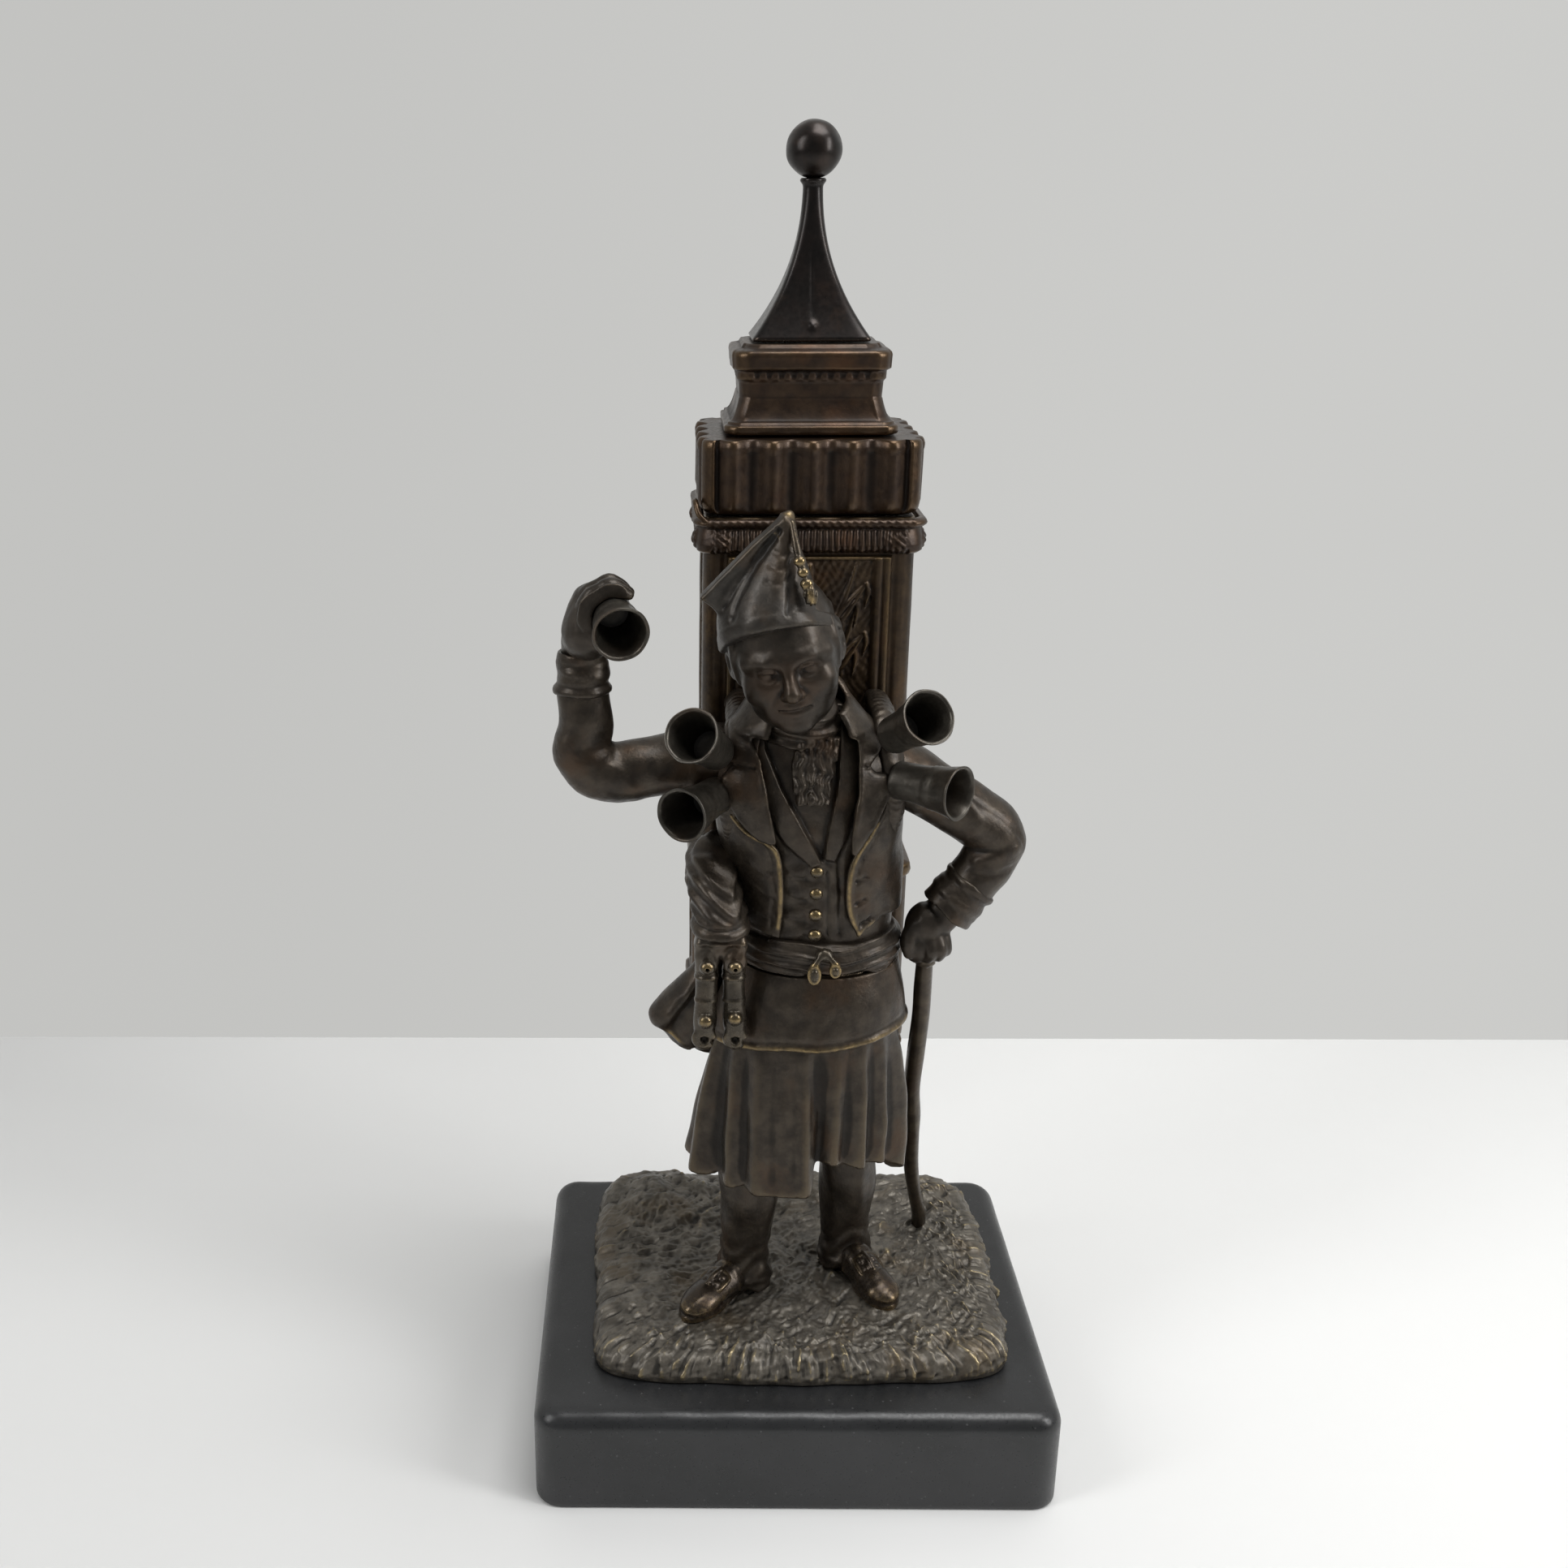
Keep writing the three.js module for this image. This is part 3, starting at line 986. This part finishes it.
function strap(side) {
  const mirror = side === 'right' ? -1 : 1;
  const at = (inward, y, z) => [
    CHEST_X + mirror * (SHOULDER_WIDTH / 2 - inward), y, z, STRAP_WIDTH, STRAP_THICKNESS,
  ];
  piece(figure, `strap_${side}`, BRONZE, [limb([
    at(0.2, BODY_Y - 5.8, chestHeight - 3),
    at(0, BODY_Y - 6.6, chestHeight + 4),
    at(0.4, BODY_Y - 6.2, shoulderHeight - 1),
    at(1.4, BODY_Y - 2, shoulderHeight + 4.4),
    at(1.6, BODY_Y + 4, shoulderHeight + 5),
    at(1.6, TANK_FRONT_Y + 1, shoulderHeight + 4.6),
  ], { sides: 8, steps: 12, facing: [0, -1, 0.9] })], {
    clear: ['jacket', 'waistcoat', 'jacket_collar', 'cravat', `${side}_sleeve`, 'tank_body'],
  });
}
strap('right');
strap('left');
const worn = [...clothed, 'strap_right', 'strap_left', 'right_sleeve', 'left_sleeve'];
const shoulderMiddle = [CHEST_X, BODY_Y, shoulderHeight];
CHEST_CUPS.forEach(([mouth, aim], k) => {
  const above = k % 2 === 1 ? [`chest_cup_${k}`] : [];
  cup(`chest_cup_${k + 1}`, offset(shoulderMiddle, mouth), aim, [...worn, ...above]);
});

// Head and folded hat, in the head's own leaning frame

piece(head, 'head', DARK_BRONZE, [
  stack([
    [0, 0, 2.2, NECK_WIDTH * 0.8, NECK_WIDTH * 0.8],
    [HEAD_HEIGHT * 0.14, 0, 0.6, HEAD_WIDTH * 0.6, HEAD_DEPTH * 0.72],
    [HEAD_HEIGHT * 0.32, 0, 0, HEAD_WIDTH * 0.86, HEAD_DEPTH * 0.92],
    [HEAD_HEIGHT * 0.55, 0, 0.2, HEAD_WIDTH, HEAD_DEPTH],
    [HEAD_HEIGHT * 0.8, -0.5, 0.4, HEAD_WIDTH * 0.82, HEAD_DEPTH * 0.84],
    [HEAD_HEIGHT, 0, 1, HEAD_WIDTH * 0.46, HEAD_DEPTH * 0.46],
  ], { sides: 18 }),
  ball(0, -HEAD_DEPTH / 2, HEAD_HEIGHT * 0.42, 1.3, 2, 2, 8),
  ball(HEAD_WIDTH / 2, 1, HEAD_HEIGHT * 0.46, 0.9, 1.6, 2.3, 8),
  ball(-HEAD_WIDTH / 2, 1, HEAD_HEIGHT * 0.46, 0.9, 1.6, 2.3, 8),
], { clear: ['cravat', 'jacket_collar', 'waistcoat', 'jacket'] });

const brim = HEAD_HEIGHT * 0.84;
const brimFront = -HAT_DEPTH * 0.45;
function hatWing() {
  const outline = [
    [HAT_LEAN * 0.4, brim + 1],
    [-WING_LENGTH + 2, brim + 1.6],
    [-WING_LENGTH, brim + HAT_HEIGHT * 0.32],
    [HAT_LEAN - 0.7, brim + HAT_HEIGHT],
    [HAT_LEAN, brim + HAT_HEIGHT * 0.8],
  ].map(([x, z]) => new THREE.Vector2(x, z));
  return new THREE.ExtrudeGeometry(new THREE.Shape(outline), { depth: WING_THICKNESS, bevelEnabled: false })
    .rotateX(Math.PI / 2).translate(0, WING_THICKNESS / 2, 0);
}
// The brim is high over the forehead and slopes down towards the back of the head
const underBrim = block(-HAT_WIDTH, HAT_WIDTH, -HAT_DEPTH, 2 * HAT_DEPTH, -2 * HEAD_HEIGHT, 0)
  .rotateX(-THREE.MathUtils.degToRad(BRIM_SLOPE)).translate(0, brimFront, brim);
piece(head, 'hat', DARK_BRONZE, [
  stack([
    [brim - HEAD_HEIGHT * 0.42, -0.2, 0.6, HAT_WIDTH, HAT_DEPTH],
    [brim - HEAD_HEIGHT * 0.25, -0.3, 0.6, HAT_WIDTH, HAT_DEPTH],
    [brim, -1.3, 0, HAT_WIDTH * 0.83, HAT_DEPTH * 0.9],
    [brim + HAT_HEIGHT * 0.35, HAT_LEAN * -0.1, 0.2, HAT_WIDTH * 0.62, HAT_DEPTH * 0.62],
    [brim + HAT_HEIGHT * 0.68, HAT_LEAN * 0.46, 0.6, HAT_WIDTH * 0.32, HAT_DEPTH * 0.36],
    [brim + HAT_HEIGHT, HAT_LEAN, 1.2, 1.6, 2.4],
  ], { sides: 18 }),
  hatWing(),
], { clear: ['head', 'tank_body'], cut: [underBrim] });
piece(head, 'hat_tassel', RUBBED_BRONZE, [limb([
  [HAT_LEAN + 0.2, -1, brim + HAT_HEIGHT * 0.93, 1.6, 2.4],
  [HAT_LEAN + 0.3, -HAT_DEPTH * 0.2, brim + HAT_HEIGHT * 0.6, 2, 2.6],
  [HAT_LEAN + 1, -HAT_DEPTH * 0.28, brim + HAT_HEIGHT * 0.22, 2.6, 2.8],
], { sides: 8, steps: 4, dome: 0.4 })], { clear: ['hat', 'head'] });

// Covered pipe from the tank round the right side, its block, two taps and their keys

const pipe = 2 * TAP_SLEEVE_RADIUS;
piece(figure, 'tap_sleeve', BRONZE, [limb([
  [sleeveEnd[0] + 1.6, TANK_FRONT_Y + 1, sleeveEnd[2] + 5, pipe - 1, pipe - 1],
  [sleeveEnd[0] - 1, BODY_Y + 1, sleeveEnd[2] + 8, pipe, pipe],
  [sleeveEnd[0] - 1, BODY_Y - 6, sleeveEnd[2] + 6, pipe, pipe],
  [...sleeveEnd, pipe, pipe],
], { steps: 9, facing: [-1, 0, 0] })], {
  clear: ['jacket', 'waistcoat', 'sash', 'tank_body', 'chest_cup_2', 'apron'],
});
const manifoldTop = sleeveEnd[2] - CLEARANCE;
const manifoldBase = manifoldTop - MANIFOLD_HEIGHT;
const tapY = sleeveEnd[1] - 0.8;
piece(figure, 'tap_manifold', BRONZE, [stack([
  [manifoldBase, sleeveEnd[0], tapY, TAP_PITCH + 3.6, MANIFOLD_DEPTH],
  [manifoldTop - 1.5, sleeveEnd[0], tapY, TAP_PITCH + 4, MANIFOLD_DEPTH],
  [manifoldTop + 2, sleeveEnd[0], tapY + 0.4, TAP_PITCH + 2.6, MANIFOLD_DEPTH],
], { sides: 16, power: 4 })], { clear: ['tap_sleeve', 'apron', 'sash', 'skirt', 'jacket'] });
[-1, 1].forEach((side, k) => {
  const x = sleeveEnd[0] + (side * TAP_PITCH) / 2;
  const top = manifoldBase - CLEARANCE;
  const knobHeight = top - TAP_LENGTH * 0.55;
  piece(figure, `tap_${k + 1}`, RUBBED_BRONZE, [
    limb([
      [x, tapY, top, 2 * TAP_RADIUS, 2 * TAP_RADIUS],
      [x, tapY - 0.4, top - TAP_LENGTH * 0.5, 1.8 * TAP_RADIUS, 1.8 * TAP_RADIUS],
      [x + side * 0.3, tapY - 1.2, top - TAP_LENGTH, 1.8 * TAP_RADIUS, 1.8 * TAP_RADIUS],
    ], { sides: 10, steps: 4 }),
    ball(x, tapY - 1.2, knobHeight, TAP_RADIUS + 0.3, TAP_RADIUS + 0.5, TAP_RADIUS, 10),
  ], { clear: ['apron', 'skirt', 'sash'] });
  const keyTurn = new THREE.Quaternion().setFromAxisAngle(new THREE.Vector3(1, 0, 0), Math.PI / 2);
  piece(figure, `tap_key_${k + 1}`, RUBBED_BRONZE, [
    disc(KEY_RADIUS * 0.6, KEY_LENGTH, 0, 8),
    ball(0, 0, KEY_LENGTH, KEY_RADIUS, KEY_RADIUS, KEY_RADIUS * 0.8, 8),
  ], {
    at: [x, tapY - MANIFOLD_DEPTH / 2 + 0.4, manifoldBase + MANIFOLD_HEIGHT * 0.35],
    turn: keyTurn,
    clear: ['tap_manifold'],
  });
});

// Fan of cloth at the right hip

const fanTop = APRON_HEM_HEIGHT + CLOTH_DROP / 2 + CLOTH_RISE;
const fanX = sleeveEnd[0] - 4.6;
piece(figure, 'hip_cloth', BRONZE, [stack([
  [fanTop - CLOTH_DROP, fanX + 0.6, BODY_Y + 6, CLOTH_WIDTH * 0.7, 6],
  [fanTop - CLOTH_DROP * 0.75, fanX, BODY_Y + 5.8, CLOTH_WIDTH, 7.4],
  [fanTop - CLOTH_DROP * 0.5, fanX, BODY_Y + 5.4, CLOTH_WIDTH, 7],
  [fanTop - CLOTH_DROP * 0.15, fanX + 2.4, BODY_Y + 5, CLOTH_WIDTH * 0.6, 6],
  [fanTop, fanX + 4, BODY_Y + 5, CLOTH_WIDTH * 0.45, 5],
], { sides: 16 })], { clear: ['skirt', 'apron', 'tank_body', 'tank_foot', 'tap_1', 'sash', 'tap_sleeve'] });

// Foliage panel on the tank's front, from the cord down to the figure's shoulders

const panelBack = TANK_FRONT_Y - CLEARANCE;
const panelFront = panelBack - PANEL_THICKNESS;
const frontFloor = panelFront + FRONT_RECESS;
const frontHalf = PANEL_WIDTH / 2 - PANEL_BORDER * 0.6;
piece(figure, 'tank_relief', RED_BRONZE, [block(
  TANK_X - PANEL_WIDTH / 2, TANK_X + PANEL_WIDTH / 2, panelFront, panelBack, shoulderHeight, fieldHigh,
)], {
  cut: [block(TANK_X - frontHalf, TANK_X + frontHalf, panelFront - 1, frontFloor, 0, fieldHigh - 0.6)],
  raised: spray([TANK_X, frontFloor], [0, -1, 0], [1, 0, 0], frontHalf, shoulderHeight + 1, fieldHigh),
  clear: ['jacket', 'waistcoat', 'jacket_collar', 'strap_right', 'strap_left', 'hat', 'head', 'cravat'],
});

export default model;
